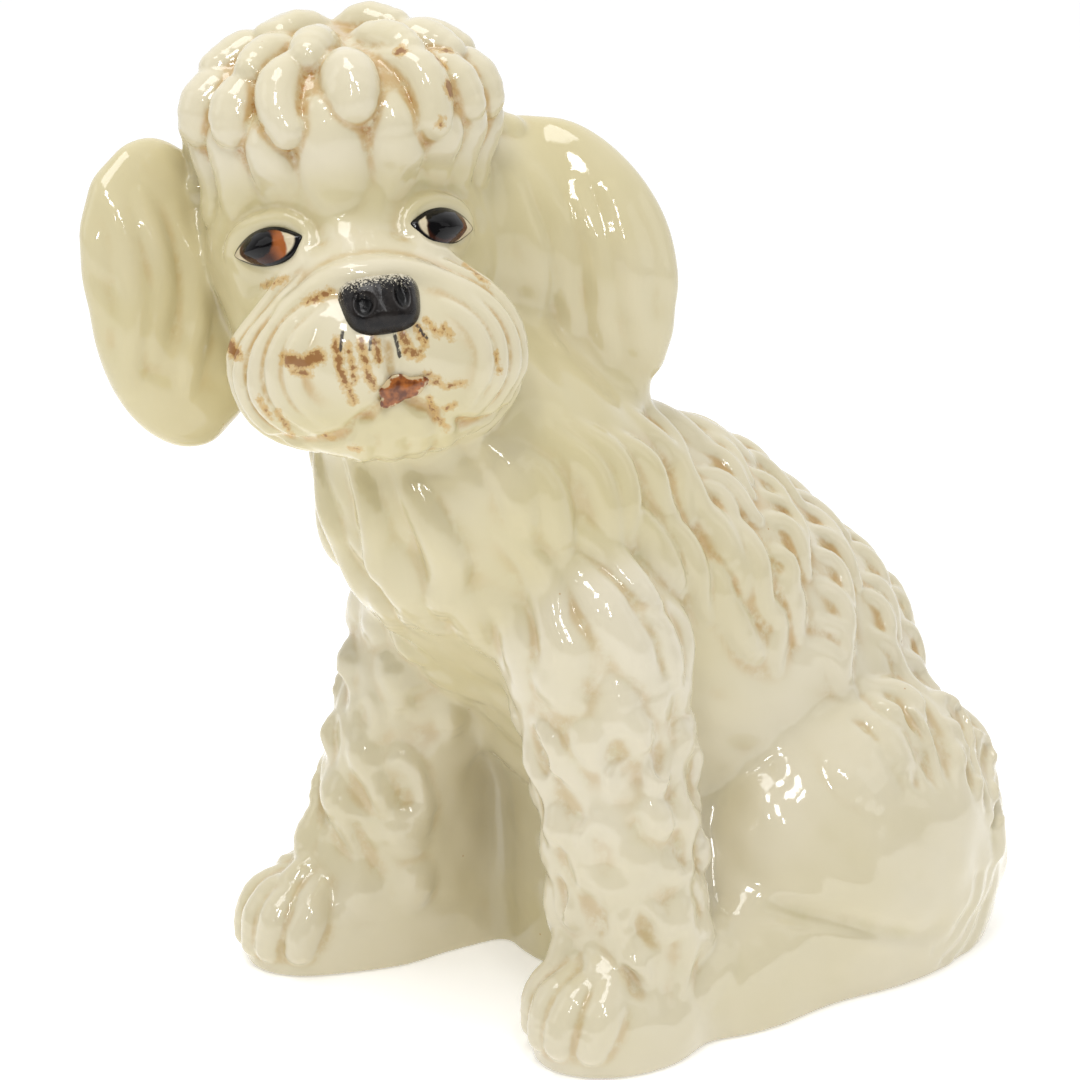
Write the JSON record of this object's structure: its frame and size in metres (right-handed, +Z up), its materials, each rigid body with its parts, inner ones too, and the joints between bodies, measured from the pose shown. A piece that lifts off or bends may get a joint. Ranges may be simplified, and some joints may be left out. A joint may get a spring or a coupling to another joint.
{
  "type": "dog figurine",
  "caption": "Seated curly-coated dog figurine in glossy ivory glaze, hollow cast, head turned to one side, standing on a flat underside.",
  "frame": {"origin": "on the flat underside that the figure rests on, on the dog's middle line, between the fore and hind feet", "axes": "+Z up to the crown of the head; the dog's body faces -Y and its left side is +X"},
  "size_m": [0.267, 0.3943, 0.4209],
  "materials": {
    "ivory_glaze": "glossy ivory glaze with a tan wash in the grooves",
    "eye_paint": "glossy painted eye under clear glaze",
    "nose_paint": "glossy black glaze",
    "lip_paint": "worn red-brown paint under clear glaze",
    "bare_clay": "unglazed matt clay"
  },
  "bodies": {
    "root": {"torso_shell": "ivory_glaze", "base_plate": "bare_clay", "tail_tuft": "ivory_glaze", "left_foreleg": "ivory_glaze", "right_foreleg": "ivory_glaze", "left_haunch": "ivory_glaze", "right_haunch": "ivory_glaze", "head_shell": "ivory_glaze", "muzzle": "ivory_glaze", "topknot": "ivory_glaze", "left_ear": "ivory_glaze", "right_ear": "ivory_glaze", "left_eye": "eye_paint", "right_eye": "eye_paint", "nose": "nose_paint", "lips": "lip_paint"}
  },
  "joints": []
}
